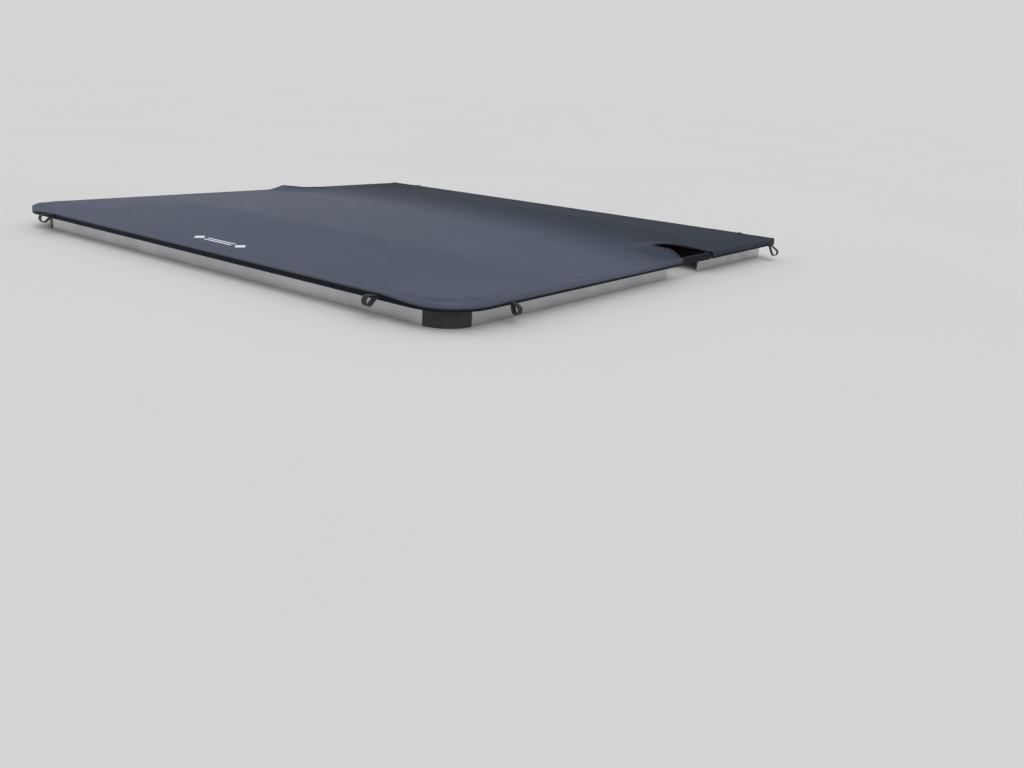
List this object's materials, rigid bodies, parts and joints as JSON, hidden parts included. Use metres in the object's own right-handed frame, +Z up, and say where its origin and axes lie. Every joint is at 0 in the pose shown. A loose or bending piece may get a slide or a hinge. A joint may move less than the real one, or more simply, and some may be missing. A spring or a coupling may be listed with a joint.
{
  "type": "tonneau cover",
  "caption": "Clip-on soft tonneau cover for a pickup tub: taut vinyl over spring-loaded bows, stiff hem on aluminium rails, pull loops, and notches for sports-bar feet.",
  "frame": {"origin": "bottom centre of the whole assembly's box, on the plane of the rails' legs", "axes": "+Z up, +Y towards the cab, +X to the right seen from behind the vehicle"},
  "size_m": [1.6846, 1.5548, 0.0863],
  "materials": {
    "vinyl": "matte grained vinyl-coated cloth, dark slate",
    "hem_vinyl": "black vinyl wrapped over a stiff plastic clip strip",
    "binding": "black bound edge",
    "webbing": "black webbing, stitched",
    "rail_aluminium": "satin anodised extrusion",
    "bow_aluminium": "mill-finish tube",
    "black_plastic": "moulded black plastic",
    "foam_seal": "closed-cell foam strip",
    "spring_steel": "drawn spring wire"
  },
  "bodies": {
    "root": {"side_rail_left": "rail_aluminium", "short_rail_left": "rail_aluminium", "corner_rail_left": "black_plastic", "side_seal_left": "foam_seal", "short_seal_left": "foam_seal", "side_rail_right": "rail_aluminium", "short_rail_right": "rail_aluminium", "corner_rail_right": "black_plastic", "side_seal_right": "foam_seal", "short_seal_right": "foam_seal", "tailgate_rail": "rail_aluminium", "tailgate_seal": "foam_seal", "front_rail": "rail_aluminium", "front_seal": "foam_seal", "bow_rear": "bow_aluminium", "bow_plug_rear": "black_plastic", "bow_spring_rear": "spring_steel", "spring_seat_rear": "black_plastic", "bow_bracket_rear_left": "black_plastic", "bow_bracket_rear_right": "black_plastic", "bow_middle": "bow_aluminium", "bow_plug_middle": "black_plastic", "bow_spring_middle": "spring_steel", "spring_seat_middle": "black_plastic", "bow_bracket_middle_left": "black_plastic", "bow_bracket_middle_right": "black_plastic", "bow_front": "bow_aluminium", "bow_plug_front": "black_plastic", "bow_spring_front": "spring_steel", "spring_seat_front": "black_plastic", "bow_bracket_front_left": "black_plastic", "bow_bracket_front_right": "black_plastic", "skin_front": "vinyl", "hem_headboard": "hem_vinyl", "skin_flap_left": "vinyl", "skin_flap_right": "vinyl", "hem_front_side_left": "hem_vinyl", "hem_flap_left": "hem_vinyl", "notch_binding_left": "binding", "hem_front_side_right": "hem_vinyl", "hem_flap_right": "hem_vinyl", "notch_binding_right": "binding"},
    "cover_middle": {"skin_middle": "vinyl", "hem_middle_left": "hem_vinyl", "hem_middle_right": "hem_vinyl"},
    "cover_rear": {"skin_rear": "vinyl", "hem_tailgate": "hem_vinyl", "hem_rear_left": "hem_vinyl", "hem_corner_left": "hem_vinyl", "hem_rear_right": "hem_vinyl", "hem_corner_right": "hem_vinyl"},
    "plunger_rear": {"bow_plunger_rear": "black_plastic"},
    "plunger_middle": {"bow_plunger_middle": "black_plastic"},
    "plunger_front": {"bow_plunger_front": "black_plastic"},
    "loop_tailgate_left": {"pull_loop_tailgate_left": "webbing"},
    "loop_rear_left": {"pull_loop_rear_left": "webbing"},
    "loop_front_left": {"pull_loop_front_left": "webbing"},
    "loop_tailgate_right": {"pull_loop_tailgate_right": "webbing"},
    "loop_rear_right": {"pull_loop_rear_right": "webbing"},
    "loop_front_right": {"pull_loop_front_right": "webbing"}
  },
  "joints": [
    {"name": "front_fold", "type": "hinge", "parent": "root", "child": "cover_middle", "pos_m": [0, 0.08737, 0.092], "axis": [-1, 0, 0], "range_deg": [0, 150]},
    {"name": "rear_fold", "type": "hinge", "parent": "cover_middle", "child": "cover_rear", "pos_m": [0, -0.46263, 0.087], "axis": [-1, 0, 0], "range_deg": [0, 175]},
    {"name": "plunger_rear_press", "type": "slide", "parent": "root", "child": "plunger_rear", "axis": [-1, 0, 0], "range_m": [0, 0.012], "stiffness_N_per_m": 1500, "springref_m": -0.005, "deforming": ["bow_spring_rear"]},
    {"name": "plunger_middle_press", "type": "slide", "parent": "root", "child": "plunger_middle", "axis": [-1, 0, 0], "range_m": [0, 0.012], "stiffness_N_per_m": 1500, "springref_m": -0.005, "deforming": ["bow_spring_middle"]},
    {"name": "plunger_front_press", "type": "slide", "parent": "root", "child": "plunger_front", "axis": [-1, 0, 0], "range_m": [0, 0.012], "stiffness_N_per_m": 1500, "springref_m": -0.005, "deforming": ["bow_spring_front"]},
    {"name": "pull_loop_tailgate_left_lift", "type": "hinge", "parent": "cover_rear", "child": "loop_tailgate_left", "pos_m": [-0.617, -0.74523, 0.05], "axis": [-1, 0, 0], "range_deg": [0, 75]},
    {"name": "pull_loop_rear_left_lift", "type": "hinge", "parent": "cover_rear", "child": "loop_rear_left", "pos_m": [-0.8126, -0.56263, 0.048], "axis": [0, 1, 0], "range_deg": [0, 100]},
    {"name": "pull_loop_front_left_lift", "type": "hinge", "parent": "root", "child": "loop_front_left", "pos_m": [-0.8126, 0.70937, 0.048], "axis": [0, 1, 0], "range_deg": [0, 105]},
    {"name": "pull_loop_tailgate_right_lift", "type": "hinge", "parent": "cover_rear", "child": "loop_tailgate_right", "pos_m": [0.617, -0.74523, 0.05], "axis": [-1, 0, 0], "range_deg": [0, 75]},
    {"name": "pull_loop_rear_right_lift", "type": "hinge", "parent": "cover_rear", "child": "loop_rear_right", "pos_m": [0.8126, -0.56263, 0.048], "axis": [0, -1, 0], "range_deg": [0, 100]},
    {"name": "pull_loop_front_right_lift", "type": "hinge", "parent": "root", "child": "loop_front_right", "pos_m": [0.8126, 0.70937, 0.048], "axis": [0, -1, 0], "range_deg": [0, 105]}
  ]
}
